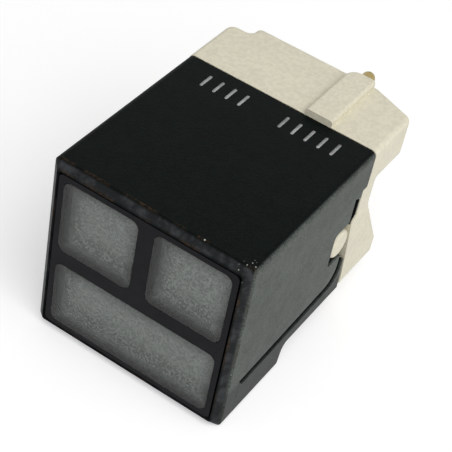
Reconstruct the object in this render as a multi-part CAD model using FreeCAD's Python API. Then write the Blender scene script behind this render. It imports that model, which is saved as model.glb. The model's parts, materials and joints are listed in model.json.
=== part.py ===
"""Plug-in annunciator lamp capsule: a split-display cap on a relampable carrier, in millimetres.

The object lies on its locating foot with the display facing -Y. While it is built, x is measured from
the middle of the cap, y rearwards from its front rim and z up from the underside of the foot. Every
piece is moved by ORIGIN_SHIFT on export, so that the origin is the bottom centre of the whole object.
"""
import FreeCAD, Part
import math
import os

V = FreeCAD.Vector

# ---- cap shell and its sprung leaf ----
CAP_WIDTH = 18.8
CAP_HEIGHT = 18.2
CAP_DEPTH = 19.05
WALL = 0.55
BEVEL = 0.7
RIM_LAND = 0.06
MOUTH_DEPTH = 0.9
LONG_EDGE_RADIUS = 0.6
RIM_CORNER_RADIUS = 0.25
CAVITY_CORNER_RADIUS = 0.3
FOOT_LENGTH = 9.75
FOOT_HEIGHT = 2.1
FOOT_HEEL_RADIUS = 0.55
FOOT_HEEL_SLOPE = 0.35
SLIT_START = 2.35
SLIT_HEIGHT = 4.28
SLIT_RISE = 0.55
SLIT_TURN_RADIUS = 1.7
SLIT_TIP_WIDTH = 0.2
SLIT_TIP_LENGTH = 0.55
PANEL_SETBACK = 1.7
PANEL_STEP_HEIGHT = 14.5
SLOT_TOP = 13.7
SLOT_SLANT = 0.4
NOTCH_LENGTH = 4.0
NOTCH_BOTTOM = 7.7
NOTCH_TOP = 11.5
NOTCH_CORNER_RADIUS = 0.5
HINGE_GAP = 0.06
STRIP_FRONT_HEIGHT = 3.42
STRIP_REAR_HEIGHT = 3.95
STRIP_TURN_RADIUS = 1.5
HORN_SETBACK = 0.75
HORN_TOP = 6.4
HORN_TOP_WIDTH = 0.2
HORN_ROOT_HEIGHT = 4.2
HORN_ROOT_WIDTH = 0.45
REAR_JOINT_GAP = 0.08

# ---- display stack, from the front rearwards ----
FRAME_GAP = 0.19
FRAME_SETBACK = 0.05
FRAME_DEPTH = 2.2
FRAME_CORNER_RADIUS = 0.45
MASK_THICKNESS = 0.2
BORDER_SIDE = 0.5
BORDER_TOP = 0.5
BORDER_BOTTOM = 0.42
BAR_WIDTH = 1.45
LOWER_WINDOW_HEIGHT = 6.6
WINDOW_CORNER_RADIUS = 0.75
POCKET_LEDGE = 0.15
PANE_CLEARANCE = 0.03
PANE_THICKNESS = 1.4
INNER_CLEARANCE = 0.1

# ---- light barrier ----
BARRIER_WALL = 0.45
BARRIER_STEP_ROOM = 0.3
BARRIER_RING_DEPTH = 0.6
BARRIER_RING_OVERLAP = 0.2
BARRIER_WEB = 0.9
BARRIER_FLEX_ROOM = 0.4
BARRIER_MARGIN = 0.15
BARRIER_NOTCH_MARGIN = 0.25
LIP_RECESS = 0.05
LIP_THICKNESS = 0.2
LIP_BOSS_ROOM = 0.25

# ---- lamp carrier ----
CARRIER_INSERT = 7.05
CARRIER_SIDE_CLEARANCE = 0.1
CARRIER_UNDERSIDE = 2.9
REAR_LENGTH = 7.95
CHEEK_WIDTH = 2.0
CHEEK_INSERT = 0.62
CHEEK_BULGE = 0.5
CHEEK_BULGE_BOTTOM = 10.9
CHEEK_BULGE_TOP = 11.15
CHEEK_BULGE_SLOPE = 0.5
CHEEK_HEEL_HEIGHT = 3.6
CHEEK_KNEE_HEIGHT = 7.0
CHEEK_KNEE_SETBACK = 0.2
EAR_SETBACK = 1.35
EAR_DEPTH = 3.6
EAR_CHAMFER = 0.8
EAR_CORNER_RADIUS = 0.9
WAIST_SETBACK = 1.45
WAIST_TOP = 13.1
WAIST_BOTTOM = 11.6
WAIST_RADIUS = 2.2
TOE_SETBACK = 1.6
TOE_HEIGHT = 0.9
TOE_RADIUS = 0.9
LEFT_STEP_X = 7.2
STEP_RADIUS = 0.6
SLANT_START_X = 5.2
SLANT_DROP = 1.6
SLANT_RADIUS = 1.0
TOP_EDGE_RADIUS = 0.5
BOSS_RADIUS = 1.38
BOSS_INSERT = 2.45
BOSS_HEIGHT = 9.45
BOSS_EDGE_RADIUS = 0.3
RIB_WIDTH = 2.65
RIB_RISE = 0.62
RIB_TOP_RADIUS = 0.3
RIB_INNER_CORNER_RADIUS = 1.2
RIB_OUTER_CORNER_RADIUS = 0.5

# ---- lamps and their common plate ----
LAMP_PITCH_X = 7.0
LAMP_PITCH_Z = 6.8
LAMP_CENTRE_RISE = 0.8
LAMP_LENGTH = 15.9
GLASS_RADIUS = 2.75
GLASS_WALL = 0.35
GLASS_NECK_STEP = 0.3
GLASS_NECK_LENGTH = 1.9
LAMP_BORE_CLEARANCE = 0.2
BASE_WALL = 0.2
BASE_LENGTH = 3.8
FLANGE_RADIUS = 3.1
FLANGE_THICKNESS = 0.5
NOSE_RADIUS = 1.5
NOSE_LENGTH = 0.5
TIP_RADIUS = 1.0
TIP_LENGTH = 0.7
TIP_EDGE_RADIUS = 0.45
STEM_RADIUS = 1.35
STEM_LENGTH = 1.2
SUPPORT_SPREAD = 1.8
SUPPORT_RADIUS = 0.12
FILAMENT_RADIUS = 0.09
FILAMENT_SETBACK = 3.2
PLATE_THICKNESS = 0.3
POCKET_DEPTH = 3.1
PLATE_CLEARANCE = 0.08
PLATE_TAB_WIDTH = 1.2
POCKET_SIDE_ROOM = 0.1
POCKET_CORNER_RADIUS = 1.2
FACE_CLEARANCE = 0.02

# ---- sprung contact ----
CONTACT_X = 3.6
CONTACT_DEPTH = 0.45
PLUNGER_RADIUS = 0.62
PLUNGER_PROUD = 1.05
COLLAR_STEP = 0.12
COLLAR_LENGTH = 0.45
COLLAR_GAP = 0.05
PLUNGER_FIT = 0.04
BARREL_WALL = 0.14
BARREL_LENGTH = 7.2
BARREL_END_WALL = 0.4
NECK_LENGTH = 0.6
SPRING_RADIUS = 0.5
SPRING_WIRE_RADIUS = 0.09
SPRING_TURNS = 8
SPRING_END_GAP = 0.03

# ---- places that follow from the sizes above ----
HALF_WIDTH = CAP_WIDTH / 2
CAVITY_HALF = HALF_WIDTH - WALL
CAVITY_TOP = CAP_HEIGHT - WALL
OPENING_INSET = BEVEL + RIM_LAND
FRAME_INSET = OPENING_INSET + FRAME_GAP
FRAME_HALF = HALF_WIDTH - FRAME_INSET
FRAME_TOP = CAP_HEIGHT - FRAME_INSET
LEAF_FLOOR_TOP = FOOT_HEIGHT + WALL
PANEL_REAR = CAP_DEPTH - PANEL_SETBACK
NOTCH_FRONT = CAP_DEPTH - NOTCH_LENGTH
HORN_FRONT = CAP_DEPTH - HORN_SETBACK
CHEEK_FRONT = CAP_DEPTH - CHEEK_INSERT
SLOT_REAR = CHEEK_FRONT - REAR_JOINT_GAP
LIP_REAR = CHEEK_FRONT - BARRIER_MARGIN
BARRIER_BOX_REAR = FOOT_LENGTH - WALL - BARRIER_STEP_ROOM
SLEEVE_HALF = CAVITY_HALF - INNER_CLEARANCE
SLEEVE_BOTTOM = WALL + BARRIER_FLEX_ROOM
SLEEVE_TOP = CAVITY_TOP - INNER_CLEARANCE
SLEEVE_INNER = SLEEVE_HALF - BARRIER_WALL
REAR_BLOCK_FRONT = CAP_DEPTH + REAR_JOINT_GAP
CORE_REAR = CAP_DEPTH + REAR_LENGTH
CARRIER_FRONT = CAP_DEPTH - CARRIER_INSERT
EAR_REAR = CORE_REAR - EAR_SETBACK
EAR_UNDERSIDE = CAP_HEIGHT - EAR_DEPTH
WAIST_Y = CAP_DEPTH + WAIST_SETBACK
TOE_REAR = CORE_REAR - TOE_SETBACK
BOSS_Y = CAP_DEPTH - BOSS_INSERT
LAMP_CENTRE_Z = CAP_HEIGHT / 2 + LAMP_CENTRE_RISE
PLATE_SEAT = CORE_REAR - POCKET_DEPTH
CONTACT_Z = CAP_HEIGHT - CONTACT_DEPTH
CARRIER_HALF = SLEEVE_INNER - CARRIER_SIDE_CLEARANCE
CARRIER_INNER_BOTTOM = LEAF_FLOOR_TOP + BARRIER_FLEX_ROOM
CORE_HALF = HALF_WIDTH - CHEEK_WIDTH
BORE_RADIUS = GLASS_RADIUS + LAMP_BORE_CLEARANCE
FLANGE_FRONT = PLATE_SEAT + PLATE_THICKNESS + FACE_CLEARANCE
FLANGE_REAR = FLANGE_FRONT + FLANGE_THICKNESS
NOSE_REAR = FLANGE_REAR + NOSE_LENGTH
LAMP_REAR = NOSE_REAR + TIP_LENGTH
GLASS_FRONT = LAMP_REAR - LAMP_LENGTH
BASE_FRONT = FLANGE_FRONT - BASE_LENGTH
NECK_REAR = BASE_FRONT + GLASS_NECK_LENGTH
GLASS_NECK_RADIUS = GLASS_RADIUS - GLASS_NECK_STEP
STEM_FRONT = NECK_REAR - STEM_LENGTH
BARREL_NECK_RADIUS = PLUNGER_RADIUS + PLUNGER_FIT
COLLAR_RADIUS = PLUNGER_RADIUS + COLLAR_STEP
BARREL_BORE_RADIUS = COLLAR_RADIUS + PLUNGER_FIT
BARREL_RADIUS = BARREL_BORE_RADIUS + BARREL_WALL
BARREL_FRONT = CORE_REAR - BARREL_LENGTH
COLLAR_REAR = CORE_REAR - NECK_LENGTH - COLLAR_GAP
COLLAR_FRONT = COLLAR_REAR - COLLAR_LENGTH
DOME_CENTRE = CORE_REAR + PLUNGER_PROUD
OVERALL_DEPTH = DOME_CENTRE + PLUNGER_RADIUS
ORIGIN_SHIFT = V(0, -OVERALL_DEPTH / 2, 0)
FAR = 50.0
CUT_OVERRUN = 1.0


# ---------------------------------------------------------------- drawing helpers
def rounded_wire(corners):
    """Closed flat wire through (u, v, radius) corners, each radius drawn as a tangent arc."""
    count = len(corners)
    edges = []
    arcs = []
    for index, (u, v, radius) in enumerate(corners):
        here = V(u, v, 0)
        before = V(*corners[index - 1][:2], 0) - here
        after = V(*corners[(index + 1) % count][:2], 0) - here
        before.normalize()
        after.normalize()
        if radius == 0:
            arcs.append((here, None, here))
            continue
        half_angle = before.getAngle(after) / 2
        reach = radius / math.tan(half_angle)
        bisector = before + after
        bisector.normalize()
        middle = here + bisector * (radius / math.sin(half_angle) - radius)
        arcs.append((here + before * reach, middle, here + after * reach))
    for index, (start, middle, end) in enumerate(arcs):
        if middle is not None:
            edges.append(Part.Arc(start, middle, end).toShape())
        following = arcs[(index + 1) % count][0]
        if end.distanceToPoint(following) > 1e-6:
            edges.append(Part.LineSegment(end, following).toShape())
    return Part.Wire(edges)


def rectangle(low_u, high_u, low_v, high_v, radius):
    """Corner list of a rectangle with one corner radius."""
    return [(low_u, low_v, radius), (high_u, low_v, radius), (high_u, high_v, radius), (low_u, high_v, radius)]


def prism_x(corners, low_x, high_x):
    """Solid of a (y, z) outline between two x planes."""
    solid = Part.Face(rounded_wire(corners)).extrude(V(0, 0, high_x - low_x))
    solid.Placement = FreeCAD.Placement(V(low_x, 0, 0), FreeCAD.Rotation(V(1, 1, 1), 120))
    return solid


def prism_y(corners, low_y, high_y):
    """Solid of an (x, z) outline between two y planes."""
    solid = Part.Face(rounded_wire(corners)).extrude(V(0, 0, high_y - low_y))
    solid.Placement = FreeCAD.Placement(V(0, high_y, 0), FreeCAD.Rotation(V(1, 0, 0), 90))
    return solid


def prism_z(corners, low_z, high_z):
    """Solid of an (x, y) outline between two z planes."""
    solid = Part.Face(rounded_wire(corners)).extrude(V(0, 0, high_z - low_z))
    solid.translate(V(0, 0, low_z))
    return solid


def box(low_x, high_x, low_y, high_y, low_z, high_z):
    """Box between opposite corners."""
    return Part.makeBox(high_x - low_x, high_y - low_y, high_z - low_z, V(low_x, low_y, low_z))


def rod(radius, low_y, high_y, x=0.0, z=0.0):
    """Cylinder along Y."""
    return Part.makeCylinder(radius, high_y - low_y, V(x, low_y, z), V(0, 1, 0))


def mirrored(shape):
    """The same shape on the other side of the cap's middle plane."""
    return shape.mirror(V(0, 0, 0), V(1, 0, 0))


def joined(*shapes):
    """One clean solid from shapes that overlap or share a face."""
    return shapes[0].fuse(list(shapes[1:])).removeSplitter()


def edges_where(shape, accept):
    """Edges whose middle point and direction satisfy accept(point, direction)."""
    chosen = []
    for edge in shape.Edges:
        middle = (edge.FirstParameter + edge.LastParameter) / 2
        if accept(edge.valueAt(middle), edge.tangentAt(middle)):
            chosen.append(edge)
    return chosen


def near(value, target):
    """True when two lengths agree to a thousandth of a millimetre."""
    return abs(value - target) < 1e-3


# ---------------------------------------------------------------- cap shell and leaf
def cap_blank():
    """Outside of the cap: bevelled front, rounded long edges and the step behind the foot."""
    rim = rounded_wire(rectangle(-HALF_WIDTH + BEVEL, HALF_WIDTH - BEVEL, BEVEL, CAP_HEIGHT - BEVEL,
                                 RIM_CORNER_RADIUS))
    full = rounded_wire(rectangle(-HALF_WIDTH, HALF_WIDTH, 0, CAP_HEIGHT, LONG_EDGE_RADIUS))
    upright = FreeCAD.Rotation(V(1, 0, 0), 90)
    rim.Placement = FreeCAD.Placement(V(0, 0, 0), upright)
    full.Placement = FreeCAD.Placement(V(0, BEVEL, 0), upright)
    front = Part.makeLoft([rim, full], True, True)
    body = prism_y(rectangle(-HALF_WIDTH, HALF_WIDTH, 0, CAP_HEIGHT, LONG_EDGE_RADIUS), BEVEL, CAP_DEPTH)
    heel = [
        (FOOT_LENGTH, -FAR, 0),
        (FOOT_LENGTH, 0, 0),
        (FOOT_LENGTH + FOOT_HEEL_SLOPE, FOOT_HEIGHT, FOOT_HEEL_RADIUS),
        (FAR, FOOT_HEIGHT, 0),
        (FAR, -FAR, 0),
    ]
    blank = joined(front, body).cut(prism_x(heel, -FAR, FAR))
    heel_edge = edges_where(blank, lambda point, way: near(point.y, FOOT_LENGTH) and near(point.z, 0)
                            and abs(way.x) > 0.99)
    return blank.makeFillet(FOOT_HEEL_RADIUS, heel_edge)


def cap_cavity():
    """Inside of the cap: the display opening, the room behind its lip and the stepped floor."""
    opening = prism_y(rectangle(-HALF_WIDTH + OPENING_INSET, HALF_WIDTH - OPENING_INSET, OPENING_INSET,
                                CAP_HEIGHT - OPENING_INSET, CAVITY_CORNER_RADIUS), -CUT_OVERRUN, MOUTH_DEPTH)
    room = prism_y(rectangle(-CAVITY_HALF, CAVITY_HALF, WALL, CAVITY_TOP, CAVITY_CORNER_RADIUS),
                   MOUTH_DEPTH, CAP_DEPTH + CUT_OVERRUN)
    floor = [
        (FOOT_LENGTH - WALL, 0, 0),
        (FOOT_LENGTH + FOOT_HEEL_SLOPE - WALL, LEAF_FLOOR_TOP, 0),
        (FAR, LEAF_FLOOR_TOP, 0),
        (FAR, 0, 0),
    ]
    return joined(opening, room.cut(prism_x(floor, -FAR, FAR)))


def panel_outline_cut():
    """Everything that the side slit, the rear relief and the notch take from the cap."""
    below_panel = [
        (SLIT_START, -FAR, 0),
        (SLIT_START, SLIT_HEIGHT, 0),
        (PANEL_REAR, SLIT_HEIGHT + SLIT_RISE, SLIT_TURN_RADIUS),
        (PANEL_REAR, SLOT_TOP + SLOT_SLANT, 0),
        (SLOT_REAR, SLOT_TOP, 0),
        (SLOT_REAR, PANEL_STEP_HEIGHT, 0),
        (FAR, PANEL_STEP_HEIGHT, 0),
        (FAR, -FAR, 0),
    ]
    notch = [
        (NOTCH_FRONT, NOTCH_BOTTOM, NOTCH_CORNER_RADIUS),
        (FAR, NOTCH_BOTTOM, 0),
        (FAR, NOTCH_TOP, 0),
        (NOTCH_FRONT, NOTCH_TOP, NOTCH_CORNER_RADIUS),
    ]
    return prism_x(below_panel, -FAR, FAR).fuse(prism_x(notch, -FAR, FAR))


def make_cap_shell(hollow):
    """Black cap: bevelled rim, top wall and two side panels."""
    return hollow.cut(panel_outline_cut())


def make_sprung_leaf(hollow):
    """Bottom wall with its foot, side strips and the two horns behind the panels."""
    start = SLIT_START + HINGE_GAP
    outline = [
        (start, -FAR, 0),
        (start, SLIT_HEIGHT - SLIT_TIP_WIDTH, 0),
        (start + SLIT_TIP_LENGTH, STRIP_FRONT_HEIGHT, 0),
        (HORN_FRONT, STRIP_REAR_HEIGHT, STRIP_TURN_RADIUS),
        (HORN_FRONT, HORN_TOP, 0),
        (HORN_FRONT + HORN_TOP_WIDTH, HORN_TOP, 0),
        (HORN_FRONT + HORN_ROOT_WIDTH, HORN_ROOT_HEIGHT, 0),
        (CAP_DEPTH - HINGE_GAP, FOOT_HEIGHT, 0),
        (CAP_DEPTH - HINGE_GAP, -FAR, 0),
    ]
    return hollow.common(prism_x(outline, -FAR, FAR))


# ---------------------------------------------------------------- display stack
def windows():
    """Name and (low x, high x, low z, high z) of each window of the display."""
    low_x = -FRAME_HALF + BORDER_SIDE
    low_z = FRAME_INSET + BORDER_BOTTOM
    high_z = FRAME_TOP - BORDER_TOP
    split_z = low_z + LOWER_WINDOW_HEIGHT
    upper_z = split_z + BAR_WIDTH
    return {
        "upper_left": (low_x, -BAR_WIDTH / 2, upper_z, high_z),
        "upper_right": (BAR_WIDTH / 2, -low_x, upper_z, high_z),
        "lower": (low_x, -low_x, low_z, split_z),
    }


def grown(window, margin):
    """A window's box with every side moved outwards by margin."""
    low_x, high_x, low_z, high_z = window
    return (low_x - margin, high_x + margin, low_z - margin, high_z + margin)


def window_prism(window, radius, low_y, high_y):
    """Solid of a window's outline between two y planes."""
    return prism_y(rectangle(*window, radius), low_y, high_y)


def make_legend_frame():
    """Front face of the display: border and bars, with a pocket behind each window."""
    front = prism_y(rectangle(-FRAME_HALF, FRAME_HALF, FRAME_INSET, FRAME_TOP, FRAME_CORNER_RADIUS),
                    FRAME_SETBACK, MOUTH_DEPTH)
    flange = prism_y(rectangle(-SLEEVE_HALF, SLEEVE_HALF, SLEEVE_BOTTOM, SLEEVE_TOP, FRAME_CORNER_RADIUS),
                     MOUTH_DEPTH, FRAME_DEPTH)
    frame = joined(front, flange)
    for window in windows().values():
        frame = frame.cut(window_prism(window, WINDOW_CORNER_RADIUS, -CUT_OVERRUN, FRAME_DEPTH))
        pocket = grown(window, POCKET_LEDGE)
        frame = frame.cut(window_prism(pocket, WINDOW_CORNER_RADIUS, FRAME_SETBACK + MASK_THICKNESS,
                                       FRAME_DEPTH + CUT_OVERRUN))
    return frame


def make_pane(window):
    """Frosted pane in its pocket, with a land that fills the window flush with the frame's face."""
    shoulder = FRAME_SETBACK + MASK_THICKNESS
    rear = shoulder + PANE_THICKNESS
    land = window_prism(grown(window, -PANE_CLEARANCE), WINDOW_CORNER_RADIUS, FRAME_SETBACK, rear)
    body = grown(window, POCKET_LEDGE - PANE_CLEARANCE)
    return joined(land, window_prism(body, WINDOW_CORNER_RADIUS, shoulder, rear))


def make_diffuser(window):
    """White sheet between a pane and the light barrier."""
    front = FRAME_SETBACK + MASK_THICKNESS + PANE_THICKNESS + FACE_CLEARANCE
    outline = grown(window, POCKET_LEDGE - PANE_CLEARANCE)
    return window_prism(outline, WINDOW_CORNER_RADIUS, front, FRAME_DEPTH)


def chamber(name):
    """Box (low x, high x, low z, high z) of the light chamber behind a window."""
    half_web = BARRIER_WEB / 2
    bar_middle = windows()["lower"][3] + BAR_WIDTH / 2
    low_x = half_web if name == "upper_right" else -SLEEVE_INNER
    high_x = -half_web if name == "upper_left" else SLEEVE_INNER
    if name == "lower":
        return (low_x, high_x, SLEEVE_BOTTOM + BARRIER_WALL, bar_middle - half_web)
    return (low_x, high_x, bar_middle + half_web, SLEEVE_TOP - BARRIER_WALL)


def closing_outline(front_low, front_high):
    """Side view (y, z, radius) of what fills the slot: it follows the cheek above the boss."""
    bottom = BOSS_HEIGHT + BOSS_RADIUS + LIP_BOSS_ROOM
    top = SLOT_TOP - BARRIER_MARGIN
    knee = CHEEK_BULGE_TOP + BARRIER_MARGIN
    return [
        (front_low, bottom, 0),
        (LIP_REAR - CHEEK_BULGE, bottom, 0),
        (LIP_REAR - CHEEK_BULGE, knee, 0),
        (LIP_REAR, knee + CHEEK_BULGE_SLOPE, 0),
        (LIP_REAR, top, 0),
        (front_high, top, 0),
        (front_high, knee + CHEEK_BULGE_SLOPE, 0),
        (front_low, knee, 0),
    ]


def barrier_side():
    """Side wall that runs back past the boss, with the lip that closes the slot behind the panel."""
    wall = box(SLEEVE_INNER, SLEEVE_HALF, BARRIER_BOX_REAR, LIP_REAR - CHEEK_BULGE, CARRIER_INNER_BOTTOM,
               SLEEVE_TOP - CAVITY_CORNER_RADIUS)
    notch = box(SLEEVE_INNER - CUT_OVERRUN, SLEEVE_HALF + CUT_OVERRUN, NOTCH_FRONT - BARRIER_NOTCH_MARGIN, FAR,
                NOTCH_BOTTOM - BARRIER_NOTCH_MARGIN, NOTCH_TOP + BARRIER_NOTCH_MARGIN)
    web = prism_x(closing_outline(PANEL_REAR - BARRIER_MARGIN, PANEL_REAR), SLEEVE_INNER, SLEEVE_HALF)
    lip_front = LIP_REAR - LIP_THICKNESS
    lip = prism_x(closing_outline(lip_front - CHEEK_BULGE, lip_front), SLEEVE_INNER, HALF_WIDTH - LIP_RECESS)
    return joined(wall.cut(notch), web, lip)


def make_light_barrier():
    """Black sleeve behind the display, with the webs that part the three light chambers."""
    ring_rear = FRAME_DEPTH + BARRIER_RING_DEPTH
    sleeve = prism_y(rectangle(-SLEEVE_HALF, SLEEVE_HALF, SLEEVE_BOTTOM, SLEEVE_TOP, FRAME_CORNER_RADIUS),
                     FRAME_DEPTH, BARRIER_BOX_REAR)
    for name, window in windows().items():
        low_x, high_x, low_z, high_z = chamber(name)
        mouth = grown(window, POCKET_LEDGE - BARRIER_RING_OVERLAP)
        room = box(low_x, high_x, ring_rear, BARRIER_BOX_REAR + CUT_OVERRUN, low_z, high_z)
        hole = window_prism(mouth, WINDOW_CORNER_RADIUS, FRAME_DEPTH - CUT_OVERRUN, ring_rear + CUT_OVERRUN)
        sleeve = sleeve.cut([room, hole])
    return joined(sleeve, barrier_side(), mirrored(barrier_side()))


# ---------------------------------------------------------------- lamp carrier
def lamp_places():
    """(x, z) of each lamp's axis, seen from the front."""
    half_x = LAMP_PITCH_X / 2
    half_z = LAMP_PITCH_Z / 2
    return {
        "upper_left": (-half_x, LAMP_CENTRE_Z + half_z),
        "upper_right": (half_x, LAMP_CENTRE_Z + half_z),
        "lower_left": (-half_x, LAMP_CENTRE_Z - half_z),
        "lower_right": (half_x, LAMP_CENTRE_Z - half_z),
    }


def pocket_outline(inset):
    """Corners of the rear pocket round the lamp flanges, moved inwards by inset."""
    half_x = LAMP_PITCH_X / 2 + FLANGE_RADIUS + POCKET_SIDE_ROOM - inset
    half_z = LAMP_PITCH_Z / 2 + FLANGE_RADIUS + POCKET_SIDE_ROOM - inset
    return rectangle(-half_x, half_x, LAMP_CENTRE_Z - half_z, LAMP_CENTRE_Z + half_z,
                     POCKET_CORNER_RADIUS - inset)


def cheek_profile():
    """Side view (y, z, radius) of a cheek: rear ear above, open waist and pointed toe below."""
    step = PANEL_STEP_HEIGHT - REAR_JOINT_GAP
    return [
        (REAR_BLOCK_FRONT, CARRIER_UNDERSIDE, 0),
        (REAR_BLOCK_FRONT, CHEEK_HEEL_HEIGHT, 0),
        (CHEEK_FRONT + CHEEK_KNEE_SETBACK, CHEEK_KNEE_HEIGHT, 0),
        (CHEEK_FRONT - CHEEK_BULGE, CHEEK_BULGE_BOTTOM, 0),
        (CHEEK_FRONT - CHEEK_BULGE, CHEEK_BULGE_TOP, 0),
        (CHEEK_FRONT, CHEEK_BULGE_TOP + CHEEK_BULGE_SLOPE, 0),
        (CHEEK_FRONT, step, 0),
        (REAR_BLOCK_FRONT, step, 0),
        (REAR_BLOCK_FRONT, CAP_HEIGHT, 0),
        (CORE_REAR, CAP_HEIGHT, 0),
        (CORE_REAR, EAR_UNDERSIDE + EAR_CHAMFER + CORE_REAR - EAR_REAR, 0),
        (EAR_REAR - EAR_CHAMFER, EAR_UNDERSIDE, EAR_CHAMFER / 2),
        (WAIST_Y, EAR_UNDERSIDE, EAR_CHAMFER / 2),
        (WAIST_Y, WAIST_TOP, 0),
        (WAIST_Y, WAIST_BOTTOM, WAIST_RADIUS),
        (TOE_REAR, CARRIER_UNDERSIDE + TOE_HEIGHT, TOE_RADIUS),
        (TOE_REAR, CARRIER_UNDERSIDE, TOE_HEIGHT / 2),
    ]


def rear_plan():
    """Top view (x, y, radius) of the rear block: stepped at the left, slanted at the right."""
    return [
        (-HALF_WIDTH, CARRIER_FRONT, 0),
        (HALF_WIDTH, CARRIER_FRONT, 0),
        (HALF_WIDTH, CORE_REAR - SLANT_DROP, EAR_CORNER_RADIUS),
        (SLANT_START_X, CORE_REAR, SLANT_RADIUS),
        (-LEFT_STEP_X, CORE_REAR, STEP_RADIUS),
        (-LEFT_STEP_X, EAR_REAR, STEP_RADIUS),
        (-HALF_WIDTH, EAR_REAR, EAR_CORNER_RADIUS),
    ]


def rear_envelope():
    """Room that the rear block fills: its plan outline with rounded top edges."""
    block = prism_z(rear_plan(), 0, CAP_HEIGHT)
    top_edges = edges_where(block, lambda point, way: near(point.z, CAP_HEIGHT)
                            and not near(point.y, CARRIER_FRONT))
    return block.makeFillet(TOP_EDGE_RADIUS, top_edges)


def contact_rib():
    """Raised rib on the carrier's top that covers the contact barrel."""
    low_x = CONTACT_X - RIB_WIDTH / 2
    high_x = CONTACT_X + RIB_WIDTH / 2
    top = CAP_HEIGHT + RIB_RISE
    plan = [
        (low_x, REAR_BLOCK_FRONT, 0),
        (high_x, REAR_BLOCK_FRONT, 0),
        (high_x, CORE_REAR, RIB_OUTER_CORNER_RADIUS),
        (low_x, CORE_REAR, RIB_INNER_CORNER_RADIUS),
    ]
    rib = prism_z(plan, CAP_HEIGHT - RIB_RISE, top)
    soft = edges_where(rib, lambda point, way: near(point.z, top) and not near(point.y, REAR_BLOCK_FRONT))
    return rib.makeFillet(RIB_TOP_RADIUS, soft)


def boss():
    """Round boss that stands in the cap's right-hand notch."""
    root = CARRIER_HALF - CUT_OVERRUN
    stud = Part.makeCylinder(BOSS_RADIUS, HALF_WIDTH - root, V(root, BOSS_Y, BOSS_HEIGHT), V(1, 0, 0))
    rim = edges_where(stud, lambda point, way: near(point.x, HALF_WIDTH))
    return stud.makeFillet(BOSS_EDGE_RADIUS, rim)


def make_lamp_carrier():
    """White moulding: lamp block inside the cap, flush rear block with cheeks, rib and bosses."""
    inner = box(-CARRIER_HALF, CARRIER_HALF, CARRIER_FRONT, REAR_BLOCK_FRONT, CARRIER_INNER_BOTTOM, SLEEVE_TOP)
    core = box(-CORE_HALF, CORE_HALF, REAR_BLOCK_FRONT, CORE_REAR, CARRIER_UNDERSIDE, CAP_HEIGHT)
    cheek = prism_x(cheek_profile(), CORE_HALF, HALF_WIDTH)
    rear = joined(core, cheek, mirrored(cheek)).common(rear_envelope())
    carrier = joined(rear, inner, contact_rib(), boss(), mirrored(boss()))
    carrier = carrier.cut(prism_y(pocket_outline(0), PLATE_SEAT, FAR))
    for x, z in lamp_places().values():
        carrier = carrier.cut(rod(BORE_RADIUS, 0, FAR, x, z))
    carrier = carrier.cut(rod(BARREL_RADIUS + FACE_CLEARANCE, BARREL_FRONT, FAR, CONTACT_X, CONTACT_Z))
    tab_half = PLATE_TAB_WIDTH / 2 + PLATE_CLEARANCE
    tab_slot = box(CONTACT_X - tab_half, CONTACT_X + tab_half, PLATE_SEAT, FAR, LAMP_CENTRE_Z, CONTACT_Z)
    return carrier.cut(tab_slot)


def make_common_plate():
    """Brass plate under the four lamp flanges, with a tab up to the contact barrel."""
    rear = PLATE_SEAT + PLATE_THICKNESS
    plate = prism_y(pocket_outline(PLATE_CLEARANCE), PLATE_SEAT, rear)
    tab = box(CONTACT_X - PLATE_TAB_WIDTH / 2, CONTACT_X + PLATE_TAB_WIDTH / 2, PLATE_SEAT, rear,
              LAMP_CENTRE_Z, CONTACT_Z - BARREL_RADIUS - FACE_CLEARANCE)
    plate = joined(plate, tab)
    for x, z in lamp_places().values():
        plate = plate.cut(rod(BORE_RADIUS, 0, FAR, x, z))
    return plate


# ---------------------------------------------------------------- lamps
def make_lamp(x, z):
    """The five pieces of one midget flange lamp on the axis through (x, z)."""
    return {
        "glass": lamp_glass(x, z),
        "base": lamp_base(x, z),
        "insulator": lamp_insulator(x, z),
        "contact": lamp_contact(x, z),
        "filament": lamp_filament(x, z),
    }


def bullet(radius, neck_radius, front, x, z):
    """Round-nosed bulb shape with a narrower neck, open to the rear."""
    dome_y = front + radius
    nose = Part.makeSphere(radius, V(x, dome_y, z))
    return joined(nose, rod(radius, dome_y, BASE_FRONT, x, z), rod(neck_radius, dome_y, NECK_REAR, x, z))


def lamp_glass(x, z):
    """Hollow glass envelope whose neck sits in the metal base."""
    outside = bullet(GLASS_RADIUS, GLASS_NECK_RADIUS, GLASS_FRONT, x, z)
    inner_radius = GLASS_RADIUS - GLASS_WALL
    inner_neck = GLASS_NECK_RADIUS - GLASS_WALL
    hollow = joined(Part.makeSphere(inner_radius, V(x, GLASS_FRONT + GLASS_RADIUS, z)),
                    rod(inner_radius, GLASS_FRONT + GLASS_RADIUS, BASE_FRONT - GLASS_WALL, x, z),
                    rod(inner_neck, GLASS_FRONT + GLASS_RADIUS, NECK_REAR + CUT_OVERRUN, x, z))
    return outside.cut(hollow)


def lamp_base(x, z):
    """Metal sleeve with the flange that seats on the common plate."""
    tube = rod(GLASS_RADIUS, BASE_FRONT, FLANGE_FRONT, x, z)
    flange = rod(FLANGE_RADIUS, FLANGE_FRONT, FLANGE_REAR, x, z)
    hollow = rod(GLASS_RADIUS - BASE_WALL, BASE_FRONT - CUT_OVERRUN, FLANGE_FRONT, x, z)
    nose_hole = rod(NOSE_RADIUS + FACE_CLEARANCE, BASE_FRONT, FAR, x, z)
    return joined(tube, flange).cut([hollow, nose_hole])


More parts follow.
